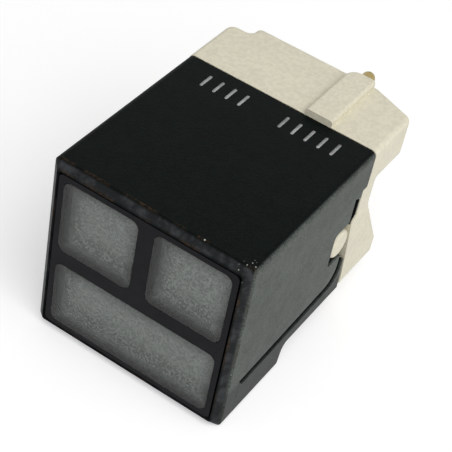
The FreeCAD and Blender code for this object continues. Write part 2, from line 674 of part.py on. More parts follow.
def lamp_insulator(x, z):
    """Glass bead that closes the envelope, carries the filament and parts the end contact from the base."""
    stem = rod(STEM_RADIUS, STEM_FRONT, NECK_REAR, x, z)
    plug = rod(GLASS_NECK_RADIUS, NECK_REAR, FLANGE_FRONT, x, z)
    nose = rod(NOSE_RADIUS, FLANGE_FRONT, NOSE_REAR, x, z)
    return joined(stem, plug, nose)


def lamp_contact(x, z):
    """Rounded solder contact on the end of the bead."""
    tip = rod(TIP_RADIUS, NOSE_REAR, LAMP_REAR, x, z)
    return tip.makeFillet(TIP_EDGE_RADIUS, edges_where(tip, lambda point, way: near(point.y, LAMP_REAR)))


def lamp_filament(x, z):
    """Filament across the tops of its two support wires."""
    filament_y = GLASS_FRONT + FILAMENT_SETBACK
    half = SUPPORT_SPREAD / 2
    supports = [rod(SUPPORT_RADIUS, filament_y, STEM_FRONT, x + side * half, z) for side in (-1, 1)]
    coil = Part.makeCylinder(FILAMENT_RADIUS, SUPPORT_SPREAD, V(x - half, filament_y + SUPPORT_RADIUS, z),
                             V(1, 0, 0))
    return joined(coil, *supports)


# ---------------------------------------------------------------- sprung contact
def make_contact_barrel():
    """Brass tube, closed at the front, whose rear neck keeps the plunger's collar in."""
    barrel = rod(BARREL_RADIUS, BARREL_FRONT, CORE_REAR, CONTACT_X, CONTACT_Z)
    bore = rod(BARREL_BORE_RADIUS, BARREL_FRONT + BARREL_END_WALL, CORE_REAR - NECK_LENGTH, CONTACT_X, CONTACT_Z)
    neck = rod(BARREL_NECK_RADIUS, CORE_REAR - NECK_LENGTH, CORE_REAR + CUT_OVERRUN, CONTACT_X, CONTACT_Z)
    return barrel.cut([bore, neck])


def make_contact_plunger():
    """Gold plunger with a domed tip and a collar inside the barrel."""
    collar = rod(COLLAR_RADIUS, COLLAR_FRONT, COLLAR_REAR, CONTACT_X, CONTACT_Z)
    shaft = rod(PLUNGER_RADIUS, COLLAR_FRONT, DOME_CENTRE, CONTACT_X, CONTACT_Z)
    dome = Part.makeSphere(PLUNGER_RADIUS, V(CONTACT_X, DOME_CENTRE, CONTACT_Z))
    return joined(collar, shaft, dome)


def make_contact_spring():
    """Coil spring between the barrel's closed end and the plunger."""
    start = BARREL_FRONT + BARREL_END_WALL + SPRING_END_GAP + SPRING_WIRE_RADIUS
    end = COLLAR_FRONT - SPRING_END_GAP - SPRING_WIRE_RADIUS
    path = Part.makeHelix((end - start) / SPRING_TURNS, end - start, SPRING_RADIUS)
    ring = Part.Wire(Part.makeCircle(SPRING_WIRE_RADIUS, V(SPRING_RADIUS, 0, 0), V(0, 1, 0)))
    coil = Part.Wire(path.Edges).makePipeShell([ring], True, True)
    coil.Placement = FreeCAD.Placement(V(CONTACT_X, start, CONTACT_Z), FreeCAD.Rotation(V(1, 0, 0), -90))
    return coil


# ---------------------------------------------------------------- export
def collect_parts():
    """Every node of the assembly by name."""
    hollow = cap_blank().cut(cap_cavity())
    parts = {
        "cap_shell": make_cap_shell(hollow),
        "sprung_leaf": make_sprung_leaf(hollow),
        "legend_frame": make_legend_frame(),
        "light_barrier": make_light_barrier(),
        "lamp_carrier": make_lamp_carrier(),
        "common_plate": make_common_plate(),
        "contact_barrel": make_contact_barrel(),
        "contact_plunger": make_contact_plunger(),
        "contact_spring": make_contact_spring(),
    }
    for name, window in windows().items():
        parts["pane_" + name] = make_pane(window)
        parts["diffuser_" + name] = make_diffuser(window)
    for place, (x, z) in lamp_places().items():
        for piece, shape in make_lamp(x, z).items():
            parts["lamp_" + place + "_" + piece] = shape
    return parts


def main():
    os.makedirs("parts", exist_ok=True)
    for name, shape in collect_parts().items():
        placed = shape.copy()
        placed.translate(ORIGIN_SHIFT)
        placed.exportStep("parts/" + name + ".step")
        print(name, len(placed.Solids), placed.isValid(), round(placed.Volume, 3))


main()
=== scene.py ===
"""Finishes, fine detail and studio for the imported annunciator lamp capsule."""

import json
import logging
import math
from dataclasses import dataclass, field
from enum import Enum

import bmesh
import bpy
from mathutils import Matrix, Vector


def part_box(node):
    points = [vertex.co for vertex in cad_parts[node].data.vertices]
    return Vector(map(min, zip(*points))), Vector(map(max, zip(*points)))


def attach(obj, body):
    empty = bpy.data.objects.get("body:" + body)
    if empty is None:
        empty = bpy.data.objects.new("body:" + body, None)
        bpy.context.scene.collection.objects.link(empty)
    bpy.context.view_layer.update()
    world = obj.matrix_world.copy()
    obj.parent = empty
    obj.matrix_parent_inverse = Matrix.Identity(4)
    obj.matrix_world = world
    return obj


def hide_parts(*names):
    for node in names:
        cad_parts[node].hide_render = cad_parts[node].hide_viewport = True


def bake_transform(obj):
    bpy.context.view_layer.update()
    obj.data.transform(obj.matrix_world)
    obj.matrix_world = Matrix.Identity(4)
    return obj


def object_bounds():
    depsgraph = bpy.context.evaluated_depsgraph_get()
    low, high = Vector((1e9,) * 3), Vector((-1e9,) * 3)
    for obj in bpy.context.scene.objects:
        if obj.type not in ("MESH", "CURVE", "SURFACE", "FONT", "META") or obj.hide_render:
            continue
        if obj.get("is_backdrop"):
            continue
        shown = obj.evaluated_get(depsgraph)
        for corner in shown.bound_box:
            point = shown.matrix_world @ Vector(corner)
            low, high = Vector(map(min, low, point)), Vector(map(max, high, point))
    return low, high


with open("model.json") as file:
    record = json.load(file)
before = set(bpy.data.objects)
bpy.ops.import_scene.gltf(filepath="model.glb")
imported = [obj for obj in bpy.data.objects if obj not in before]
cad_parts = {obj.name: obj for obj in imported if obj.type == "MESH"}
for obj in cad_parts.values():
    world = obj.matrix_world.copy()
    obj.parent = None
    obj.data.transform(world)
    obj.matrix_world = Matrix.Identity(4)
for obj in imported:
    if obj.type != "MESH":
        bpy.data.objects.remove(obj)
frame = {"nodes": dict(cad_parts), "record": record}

MM = 0.001
LOG = logging.getLogger("lamp_capsule")

Colour = tuple[float, float, float]
Point = tuple[float, float, float]
Box = tuple[Point, Point]


class LampPlace(Enum):
    """Where a lamp stands in the carrier, as in the names of its body and nodes."""

    UPPER_LEFT = "upper_left"
    UPPER_RIGHT = "upper_right"
    LOWER_LEFT = "lower_left"
    LOWER_RIGHT = "lower_right"


class Window(Enum):
    """A window of the display, as in the names of its nodes."""

    UPPER_LEFT = "upper_left"
    UPPER_RIGHT = "upper_right"
    LOWER = "lower"


# ------------------------------------------------------------------ node graphs
Socket = bpy.types.NodeSocket
Value = Socket | float


class Graph:
    """Short calls for adding nodes to one node tree and joining them."""

    # Places of the colour sockets on a Mix node, which has a set of them for each data type.
    MIX_FIRST: int = 6
    MIX_SECOND: int = 7
    MIX_RESULT: int = 2

    def __init__(self, tree: bpy.types.NodeTree) -> None:
        """Works on a tree that is already there."""
        self.tree = tree

    def add(self, kind: str, **settings: object) -> bpy.types.Node:
        """Adds a node.

        Args:
            kind: the node's type name.
            settings: properties of the node, by name.

        Returns:
            The new node.
        """
        node = self.tree.nodes.new(kind)
        for name, value in settings.items():
            setattr(node, name, value)
        return node

    def feed(self, socket: Socket, value: object) -> None:
        """Joins a socket to an output, or sets its constant.

        Args:
            socket: an input of a node.
            value: an output, or a constant that fits the socket.
        """
        if isinstance(value, bpy.types.NodeSocket):
            self.tree.links.new(value, socket)
        else:
            socket.default_value = value

    def math(self, operation: str, *values: Value, clamp: bool = False) -> Socket:
        """One Math node.

        Args:
            operation: the node's operation.
            values: outputs or constants for its inputs.
            clamp: whether the result is held between 0 and 1.

        Returns:
            The node's output.
        """
        node = self.add("ShaderNodeMath", operation=operation, use_clamp=clamp)
        for socket, value in zip(node.inputs, values):
            self.feed(socket, value)
        return node.outputs[0]

    def vector(self, operation: str, *values: object) -> Socket:
        """One Vector Math node, and its vector output.

        Args:
            operation: the node's operation.
            values: outputs or constants for its inputs.

        Returns:
            The node's vector output.
        """
        node = self.add("ShaderNodeVectorMath", operation=operation)
        for socket, value in zip(node.inputs, values):
            self.feed(socket, value)
        return node.outputs[0]

    def noise(self, place: Socket, scale: Value, detail: float = 3.0, rough: float = 0.55) -> Socket:
        """Noise value at a place.

        Args:
            place: coordinates in metres.
            scale: cells per metre.
            detail: octaves of finer noise.
            rough: strength of each finer octave.

        Returns:
            The noise, about 0 to 1.
        """
        node = self.add("ShaderNodeTexNoise", noise_dimensions="3D")
        self.feed(node.inputs["Vector"], place)
        self.feed(node.inputs["Scale"], scale)
        node.inputs["Detail"].default_value = detail
        node.inputs["Roughness"].default_value = rough
        return node.outputs["Fac"]

    def between(self, value: Value, low: Value, high: Value, start: Value = 0.0, end: Value = 1.0) -> Socket:
        """Smooth step of a value from one range to another.

        Args:
            value: what is mapped.
            low: value at which the result is start.
            high: value at which the result is end.
            start: result at low and below.
            end: result at high and above.

        Returns:
            The mapped value.
        """
        node = self.add("ShaderNodeMapRange", interpolation_type="SMOOTHSTEP")
        for socket, given in zip(node.inputs, (value, low, high, start, end)):
            self.feed(socket, given)
        return node.outputs[0]

    def mix(self, share: float, first: Socket, second: Socket) -> Socket:
        """Value that is share of the second value and the rest of the first."""
        return self.math("MULTIPLY_ADD", first, 1 - share, self.math("MULTIPLY", second, share))

    def blend(self, share: Value, first: object, second: object) -> Socket:
        """Colour between two colours.

        Args:
            share: how much of the second colour shows.
            first: colour or output at share 0.
            second: colour or output at share 1.

        Returns:
            The mixed colour.
        """
        node = self.add("ShaderNodeMix", data_type="RGBA", clamp_factor=True)
        self.feed(node.inputs[0], share)
        self.feed(node.inputs[self.MIX_FIRST], _rgba(first))
        self.feed(node.inputs[self.MIX_SECOND], _rgba(second))
        return node.outputs[self.MIX_RESULT]

    def split(self, place: Socket) -> tuple[Socket, Socket, Socket]:
        """The x, y and z of a vector.

        Args:
            place: any vector.

        Returns:
            Its three values.
        """
        node = self.add("ShaderNodeSeparateXYZ")
        self.feed(node.inputs[0], place)
        return node.outputs[0], node.outputs[1], node.outputs[2]

    def place(self) -> Socket:
        """Coordinates that stay with the piece, in metres."""
        return self.add("ShaderNodeTexCoord").outputs["Object"]

    def group(self, tree: bpy.types.NodeTree, **values: object) -> bpy.types.NodeOutputs:
        """Places a shared effect.

        Args:
            tree: the effect's node group.
            values: its inputs by name, with _ for a space.

        Returns:
            The group node's outputs.
        """
        node = self.add("ShaderNodeGroup", node_tree=tree)
        for name, value in values.items():
            self.feed(node.inputs[name.replace("_", " ").capitalize()], value)
        return node.outputs


def _scaled(colour: Colour, share: float) -> Colour:
    """A colour made darker or lighter."""
    return tuple(part * share for part in colour)


def _rgba(colour: object) -> object:
    """A colour with its alpha, or the output as it is."""
    return (*colour, 1.0) if isinstance(colour, tuple) else colour


class Effects:
    """Surface effects that several finishes share, each one node group that is built once.

    Every scale, here and in the finishes, is in cells per metre.
    """

    VECTORS: tuple[str, ...] = ("Place", "Middle", "Half")
    # Grain: a coarse noise under a fine one.
    COARSE_SHARE: float = 0.13
    FINE_HEIGHT: float = 0.65
    FINE_TONE: float = 0.4
    TONE_SPAN: tuple[float, float] = (0.34, 0.66)
    # Mottle and smudges: the part of the noise that is stretched from nothing to full.
    MOTTLE_SPAN: tuple[float, float] = (0.36, 0.64)
    SMUDGE_SPAN: tuple[float, float] = (0.4, 0.68)
    # Wear: rubbed patches with ragged rims, and clumps of small spots nearer the edge, which a finish paints as
    # bright glints or as chip marks.
    PATCH_SCALE: float = 520.0
    PATCH_SPAN: tuple[float, float] = (0.45, 0.62)
    RAGGED_SCALE: float = 7500.0
    RAGGED_SPAN: tuple[float, float] = (0.42, 0.58)
    CLUMP_SCALE: float = 800.0
    CLUMP_SPAN: tuple[float, float] = (0.5, 0.6)
    CHIP_SCALE: float = 2600.0
    CHIP_SIZE: float = 0.28
    CHIP_SHARE: float = 0.16
    CHIP_REACH: float = 0.35
    # Specks: how ragged their rims are, and how much of each is full.
    SPECK_RAGGED_SCALE: float = 14000.0
    SPECK_RAGGED: float = 0.1
    SPECK_CORE: float = 0.6

    def __init__(self) -> None:
        """Builds every group."""
        self.grain = self._grain()
        self.mottle = self._mottle()
        self.specks = self._specks()
        self.wear = self._wear()
        self.edges = self._edges()
        self.smudges = self._smudges()

    def _start(self, name: str, inputs: tuple[str, ...], outputs: tuple[str, ...]) -> tuple[Graph, dict, dict]:
        """Makes an empty group with its sockets.

        Args:
            name: the group's name.
            inputs: names of its inputs; those in VECTORS are vectors, and the others are values.
            outputs: names of its outputs, which are all values.

        Returns:
            The group's graph, its inputs as outputs to read, and its outputs as sockets to feed.
        """
        tree = bpy.data.node_groups.new(name, "ShaderNodeTree")
        for label in inputs:
            kind = "NodeSocketVector" if label in self.VECTORS else "NodeSocketFloat"
            tree.interface.new_socket(label, in_out="INPUT", socket_type=kind)
        for label in outputs:
            tree.interface.new_socket(label, in_out="OUTPUT", socket_type="NodeSocketFloat")
        graph = Graph(tree)
        source = graph.add("NodeGroupInput").outputs
        target = graph.add("NodeGroupOutput").inputs
        return graph, {k: source[k] for k in inputs}, {k: target[k] for k in outputs}

    def _grain(self) -> bpy.types.NodeTree:
        """Fine texture of a moulded or cast surface: Height for bump and Tone for colour.

        Returns:
            The node group.
        """
        graph, given, made = self._start("mould grain", ("Place", "Scale"), ("Height", "Tone"))
        fine = graph.noise(given["Place"], given["Scale"], 2.0)
        coarse = graph.noise(given["Place"], graph.math("MULTIPLY", given["Scale"], self.COARSE_SHARE), 3.0)
        graph.feed(made["Height"], graph.mix(self.FINE_HEIGHT, coarse, fine))
        mixed = graph.mix(self.FINE_TONE, coarse, fine)
        graph.feed(made["Tone"], graph.between(mixed, *self.TONE_SPAN))
        return graph.tree

    def _mottle(self) -> bpy.types.NodeTree:
        """Even close speckle of a textured or frosted surface, about 0 to 1.

        Returns:
            The node group.
        """
        graph, given, made = self._start("mottle", ("Place", "Scale"), ("Tone",))
        spots = graph.noise(given["Place"], given["Scale"], 1.0)
        graph.feed(made["Tone"], graph.between(spots, *self.MOTTLE_SPAN))
        return graph.tree

    def _wear(self) -> bpy.types.NodeTree:
        """Wear beside an edge, from the distance to it: Mask for rubbed patches, and a second output for small
        spots nearer the edge, which finishes paint as bright glints or as chip marks.

        Returns:
            The node group.
        """
        graph, given, made = self._start(
            "edge wear", ("Place", "Distance", "Width", "Amount"), ("Mask", "ChipAndGlint"))
        patches = graph.noise(given["Place"], self.PATCH_SCALE, 2.0)
        ragged = graph.noise(given["Place"], self.RAGGED_SCALE, 3.0, 0.65)
        near = graph.math("SUBTRACT", 1.0, graph.math("DIVIDE", given["Distance"], given["Width"]), clamp=True)
        rubbed = graph.math("MULTIPLY", graph.between(patches, *self.PATCH_SPAN),
                            graph.between(ragged, *self.RAGGED_SPAN))
        graph.feed(made["Mask"], graph.math("MULTIPLY", graph.math("MULTIPLY", near, rubbed), given["Amount"],
                                            clamp=True))
        chips_and_glints = graph.group(self.specks, place=given["Place"], scale=self.CHIP_SCALE, size=self.CHIP_SIZE,
                            share=self.CHIP_SHARE)["Mask"]
        clumps = graph.between(graph.noise(given["Place"], self.CLUMP_SCALE, 1.0), *self.CLUMP_SPAN)
        full = graph.math("MULTIPLY", given["Width"], self.CHIP_REACH)
        at_edge = graph.between(given["Distance"], full, given["Width"], 1.0, 0.0)
        graph.feed(made["ChipAndGlint"], graph.math("MULTIPLY", graph.math("MULTIPLY", chips_and_glints, clumps), at_edge))
        return graph.tree

    def _edges(self) -> bpy.types.NodeTree:
        """Distance in metres to the nearest edge of a box, for places on its faces.

        Returns:
            The node group.
        """
        graph, given, made = self._start("box edges", ("Place", "Middle", "Half"), ("Distance",))
        centred = graph.vector("SUBTRACT", given["Place"], given["Middle"])
        inside = graph.vector("SUBTRACT", given["Half"], graph.vector("ABSOLUTE", centred))
        x, y, z = graph.split(inside)
        low = graph.math("MINIMUM", x, y)
        high = graph.math("MAXIMUM", x, y)
        graph.feed(made["Distance"], graph.math("MAXIMUM", low, graph.math("MINIMUM", high, z)))
        return graph.tree

    def _specks(self) -> bpy.types.NodeTree:
        """Sparse small specks, such as dust or pinholes.

        Returns:
            The node group.
        """
        graph, given, made = self._start("specks", ("Place", "Scale", "Size", "Share"), ("Mask",))
        cells = graph.add("ShaderNodeTexVoronoi", feature="F1")
        graph.feed(cells.inputs["Vector"], given["Place"])
        graph.feed(cells.inputs["Scale"], given["Scale"])
        pick = graph.split(cells.outputs["Color"])[0]
        chosen = graph.math("LESS_THAN", pick, given["Share"])
        rough = graph.noise(given["Place"], self.SPECK_RAGGED_SCALE, 1.0)
        ragged = graph.math("MULTIPLY_ADD", rough, self.SPECK_RAGGED, cells.outputs["Distance"])
        core = graph.math("MULTIPLY", given["Size"], self.SPECK_CORE)
        spot = graph.between(ragged, core, given["Size"], 1.0, 0.0)
        graph.feed(made["Mask"], graph.math("MULTIPLY", spot, chosen))
        return graph.tree

    def _smudges(self) -> bpy.types.NodeTree:
        """Soft uneven patches, such as handling marks and tarnish.

        Returns:
            The node group.
        """
        graph, given, made = self._start("smudges", ("Place", "Scale"), ("Mask",))
        drawn = graph.noise(given["Place"], given["Scale"], 4.0, 0.6)
        graph.feed(made["Mask"], graph.between(drawn, *self.SMUDGE_SPAN))
        return graph.tree


# ------------------------------------------------------------------ finishes
@dataclass(frozen=True)
class Scatter:
    """Specks of one kind: how close their cells are, their size in a cell, and the share of cells with one."""

    scale: float
    size: float
    share: float

    def mask(self, graph: Graph, effects: Effects, place: Socket) -> Socket:
        """1 on the specks and 0 between them."""
        specks = graph.group(effects.specks, place=place, scale=self.scale, size=self.size, share=self.share)
        return specks["Mask"]


@dataclass(frozen=True)
class Finish:
    """Plain settings that every finish has."""

    name: str
    colour: Colour
    roughness: float
    metallic: float = 0.0
    specular: float = 0.5
    ior: float = 1.5
    transmission: float = 0.0

    def build(self, effects: Effects) -> bpy.types.Material:
        """Makes the material.

        Args:
            effects: the shared node groups.

        Returns:
            The new material.
        """
        material = bpy.data.materials.new(self.name)
        material.use_nodes = True
        material.diffuse_color = (*self.colour, 1.0)
        graph = Graph(material.node_tree)
        shader = material.node_tree.nodes["Principled BSDF"]
        shader.inputs["Metallic"].default_value = self.metallic
        shader.inputs["Specular IOR Level"].default_value = self.specular
        shader.inputs["IOR"].default_value = self.ior
        shader.inputs["Transmission Weight"].default_value = self.transmission
        self.dress(graph, shader, effects)
        return material

    def dress(self, graph: Graph, shader: bpy.types.Node, effects: Effects) -> None:
        """Feeds the shader's colour, roughness and normal; each kind of finish has its own."""
        raise NotImplementedError

    def bump(self, graph: Graph, shader: bpy.types.Node, height: Socket, depth: float) -> None:
        """Gives the shader a bumpy normal, depth metres deep.

        Args:
            graph: the material's graph.
            shader: the material's Principled shader.
            height: height of the surface, 0 to 1.
            depth: how deep a height of 1 is, in metres.
        """
        node = graph.add("ShaderNodeBump")
        node.inputs["Strength"].default_value = 1.0
        node.inputs["Distance"].default_value = depth
        graph.feed(node.inputs["Height"], height)
        graph.feed(shader.inputs["Normal"], node.outputs[0])


@dataclass(frozen=True)
class Surface:
    """What a mark reads of the surface under it."""

    graph: Graph
    effects: Effects
    place: Socket
    tone: Socket


@dataclass(frozen=True)
class Mark:
    """A change of colour over part of a moulded surface."""

    colour: Colour

    def share(self, surface: Surface) -> Socket:
        """How much of the mark shows; each kind of mark has its own."""
        raise NotImplementedError

    def over(self, surface: Surface, under: Socket) -> Socket:
        """The colour with the mark on it.

        Args:
            surface: the surface that is marked.
            under: its colour so far.

        Returns:
            The new colour.
        """
        return surface.graph.blend(self.share(surface), under, self.colour)


@dataclass(frozen=True)
class PaintedSideReflection(Mark):
    """Painted reflection: grey on a box's two sides, standing in for the pale surroundings that they reflect;
    full above the sprung leaf and fainter on it.
    """

    box: Box
    above: float
    fade: float = 1.2 * MM
    leaf_share: float = 0.5
    skin: tuple[float, float] = (0.05 * MM, 0.3 * MM)
    least: float = 0.35
    grain: float = 0.7

    def share(self, surface: Surface) -> Socket:
        """Strongest on the side's skin above the leaf, and broken by the surface's own tone.

        Args:
            surface: the surface that is marked.

        Returns:
            How much of the painted grey shows, 0 to 1.
        """
        graph = surface.graph
        middle, half = self.box
        x, _, z = graph.split(surface.place)
        inside = graph.math("SUBTRACT", half[0], graph.math("ABSOLUTE", graph.math("SUBTRACT", x, middle[0])))
        side = graph.between(inside, *self.skin, 1.0, 0.0)
        rise = graph.between(z, self.above, self.above + self.fade, self.leaf_share, 1.0)
        broken = graph.math("MULTIPLY_ADD", surface.tone, self.grain, self.least)
        return graph.math("MULTIPLY", graph.math("MULTIPLY", side, rise), broken)


@dataclass(frozen=True)
class BevelHighlightBand(Mark):
    """Painted highlight: a lighter band across the rounded bevel, broken into soft patches."""

    middle_y: float
    half: float
    full_share: float = 0.4
    patch_scale: float = 900.0
    least: float = 0.3

    def share(self, surface: Surface) -> Socket:
        """Fades towards both edges of the band.

        Args:
            surface: the surface that is marked.

        Returns:
            How much of the band shows, 0 to 1.
        """
        graph = surface.graph
        away = graph.math("ABSOLUTE", graph.math("SUBTRACT", graph.split(surface.place)[1], self.middle_y))
        band = graph.between(away, self.half * self.full_share, self.half, 1.0, 0.0)
        patches = graph.group(surface.effects.smudges, place=surface.place, scale=self.patch_scale)["Mask"]
        return graph.math("MULTIPLY", band, graph.math("MULTIPLY_ADD", patches, 1 - self.least, self.least))


@dataclass(frozen=True)
class EdgeWear(Mark):
    """Wear along a box's edges and the creases across it, with small spots in a second colour: painted glints
    where that colour is bright, chip marks where it is dark.
    """

    box: Box
    amount: float
    crease_y: tuple[float, ...] = ()
    width: float = 0.16 * MM
    chip_and_glint_colour: Colour = (0.5, 0.5, 0.47)

    def over(self, surface: Surface, under: Socket) -> Socket:
        """The worn colour first, and the spots in the second colour on top of it.

        Args:
            surface: the surface that is marked.
            under: its colour so far.

        Returns:
            The new colour.
        """
        graph = surface.graph
        distance = graph.group(surface.effects.edges, place=surface.place, middle=self.box[0],
                               half=self.box[1])["Distance"]
        y = graph.split(surface.place)[1]
        for crease in self.crease_y:
            away = graph.math("ABSOLUTE", graph.math("SUBTRACT", y, crease))
            distance = graph.math("MINIMUM", distance, away)
        worn = graph.group(surface.effects.wear, place=surface.place, distance=distance, width=self.width,
                           amount=self.amount)
        return graph.blend(worn["ChipAndGlint"], graph.blend(worn["Mask"], under, self.colour), self.chip_and_glint_colour)


@dataclass(frozen=True)
class PaintedCornerGlints(Mark):
    """Painted glints: bright spots round one knocked corner."""

    corner: Point
    radius: float
    full_share: float = 0.3
    chips_and_glints: Scatter = Scatter(5200.0, 0.42, 0.16)

    def share(self, surface: Surface) -> Socket:
        """Painted glints that thin out away from the corner.

        Args:
            surface: the surface that is marked.

        Returns:
            How much of the painted glints shows, 0 to 1.
        """
        graph = surface.graph
        away = graph.add("ShaderNodeVectorMath", operation="LENGTH")
        graph.feed(away.inputs[0], graph.vector("SUBTRACT", surface.place, self.corner))
        near = graph.between(away.outputs["Value"], self.radius * self.full_share, self.radius, 1.0, 0.0)
        return graph.math("MULTIPLY", near, self.chips_and_glints.mask(graph, surface.effects, surface.place))


@dataclass(frozen=True)
class Dust(Mark):
    """A few motes of dust."""

    amount: float
    scale: float = 620.0
    size: float = 0.055

    def share(self, surface: Surface) -> Socket:
        """The motes."""
        motes = Scatter(self.scale, self.size, self.amount)
        return motes.mask(surface.graph, surface.effects, surface.place)


@dataclass(frozen=True)
class MouldedPlastic(Finish):
    """Opaque moulded plastic with a fine grain and, on some pieces, a closer speckle, marks of use and painted
    reflection, highlight and glints.
    """

    grain_scale: float = 9000.0
    grain_depth: float = 0.012 * MM
    tone: float = 0.12
    handled: float = 0.1
    handled_scale: float = 330.0
    speckle: float = 0.0
    speckle_scale: float = 4300.0
    speckle_tone: float = 0.65
    speckle_rough: float = 0.1
    marks: tuple[Mark, ...] = ()

    def dress(self, graph: Graph, shader: bpy.types.Node, effects: Effects) -> None:
        """Grain in the colour, the roughness and the normal, then the marks on top in their order.

        Args:
            graph: the material's graph.
            shader: the material's Principled shader.
            effects: the shared node groups.
        """
        place = graph.place()
        grain = graph.group(effects.grain, place=place, scale=self.grain_scale)
        smudge = graph.group(effects.smudges, place=place, scale=self.handled_scale)["Mask"]
        tone = grain["Tone"]
        height = grain["Height"]
        rough = graph.math("MULTIPLY_ADD", smudge, self.handled, self.roughness - self.handled / 2)
        if self.speckle:
            spots = graph.group(effects.mottle, place=place, scale=self.speckle_scale)["Tone"]
            tone = graph.mix(self.speckle_tone, tone, spots)
            height = graph.math("MULTIPLY_ADD", spots, self.speckle, height)
            rough = graph.math("MULTIPLY_ADD", spots, self.speckle_rough, rough)
        colour = graph.blend(tone, _scaled(self.colour, 1 - self.tone), _scaled(self.colour, 1 + self.tone))
        surface = Surface(graph, effects, place, tone)
        for mark in self.marks:
            colour = mark.over(surface, colour)
        graph.feed(shader.inputs["Base Color"], colour)
        graph.feed(shader.inputs["Roughness"], rough)
        self.bump(graph, shader, height, self.grain_depth)


@dataclass(frozen=True)
class FrostedAcrylic(Finish):
    """Milky plastic with a mottled frosted skin.

    The skin over the front is half clear milk, with painted shade that darkens it towards its edges, more at the
    left and bottom. Behind it the milk thickens with depth, the sides of the pocket take painted shade as a soft
    dark margin, and the back is nearly closed.
    """

    box: Box = field(kw_only=True)
    milk: float = 0.5
    margin: float = 1.7 * MM
    margin_shift: Point = (0.3 * MM, 0.0, 0.35 * MM)
    margin_light: float = 0.22
    deep_milk: float = 0.92
    side_shade: float = 0.42
    mottle_scale: float = 6200.0
    mottle: float = 0.3
    mottle_rough: float = 0.12
    depth: float = 0.006 * MM
    pit: Colour = (0.5, 0.52, 0.5)
    pits: Scatter = Scatter(900.0, 0.05, 0.06)
    skin: tuple[float, float] = (0.05, 0.1)
    back: float = 0.97
    milk_span: tuple[float, float] = (0.1, 0.95)

    def dress(self, graph: Graph, shader: bpy.types.Node, effects: Effects) -> None:
        """Mottled tint and roughness with a few pale pits, and the milk's share in the alpha.

        Args:
            graph: the material's graph.
            shader: the material's Principled shader.
            effects: the shared node groups.
        """
        place = graph.place()
        tone = graph.group(effects.mottle, place=place, scale=self.mottle_scale)["Tone"]
        dark = _scaled(self.colour, 1 - self.mottle)
        light = _scaled(self.colour, 1 + self.mottle)
        milk = graph.blend(self.pits.mask(graph, effects, place), graph.blend(tone, dark, light), self.pit)
        sunk = self._sunk(graph, place)
        shifted = graph.vector("SUBTRACT", place, self.margin_shift)
        distance = graph.group(effects.edges, place=shifted, middle=self.box[0], half=self.box[1])["Distance"]
        # Painted shade: the milk darkens towards the window's edges, more at the left and bottom, where the
        # shifted box lies closer.
        lit = graph.between(distance, 0.0, self.margin, self.margin_light, 1.0)
        milk = graph.blend(lit, (0.0, 0.0, 0.0), milk)
        # Painted shade on the pane's sides inside the pocket.
        side = graph.math("MULTIPLY", graph.between(sunk, *self.skin),
                          graph.math("LESS_THAN", sunk, self.back))
        shaded = graph.vector("SCALE", milk)
        shaded.node.inputs["Scale"].default_value = self.side_shade
        graph.feed(shader.inputs["Base Color"], graph.blend(side, milk, shaded))
        rough = graph.math("MULTIPLY_ADD", tone, self.mottle_rough, self.roughness - self.mottle_rough / 2)
        graph.feed(shader.inputs["Roughness"], rough)
        graph.feed(shader.inputs["Alpha"], graph.between(sunk, *self.milk_span, self.milk, self.deep_milk))
        self.bump(graph, shader, graph.math("MULTIPLY", tone, graph.math("SUBTRACT", 1.0, side)), self.depth)

    def _sunk(self, graph: Graph, place: Socket) -> Socket:
        """Depth below the front as a share of the thickness: 0 on the front skin and 1 on the back.

        Args:
            graph: the material's graph.
            place: coordinates in metres.

        Returns:
            The share.
        """
        middle, half = self.box
        past = graph.math("SUBTRACT", graph.split(place)[1], middle[1] - half[1])
        return graph.math("DIVIDE", past, 2 * half[1])


@dataclass(frozen=True)
class DiffusingSheet(Finish):
    """White sheet with painted shade that darkens it towards the sides of its pocket."""

    box: Box = field(kw_only=True)
    margin: float = 1.6 * MM
    shaded: float = 0.12
    mottle: float = 0.12
    grain_scale: float = 3800.0
    grain_rough: float = 0.1
    depth: float = 0.01 * MM

    def dress(self, graph: Graph, shader: bpy.types.Node, effects: Effects) -> None:
        """Mottled white that darkens into a soft margin.

        Args:
            graph: the material's graph.
            shader: the material's Principled shader.
            effects: the shared node groups.
        """
        place = graph.place()
        grain = graph.group(effects.grain, place=place, scale=self.grain_scale)
        distance = graph.group(effects.edges, place=place, middle=self.box[0], half=self.box[1])["Distance"]
        white = graph.blend(grain["Tone"], _scaled(self.colour, 1 - self.mottle), self.colour)
        # Painted shade: darker towards the sides of the pocket.
        lit = graph.between(distance, 0.0, self.margin, self.shaded, 1.0)
        graph.feed(shader.inputs["Base Color"], graph.blend(lit, _scaled(self.colour, self.shaded), white))
        rough = graph.math("MULTIPLY_ADD", grain["Tone"], self.grain_rough, self.roughness)
        graph.feed(shader.inputs["Roughness"], rough)
        self.bump(graph, shader, grain["Height"], self.depth)


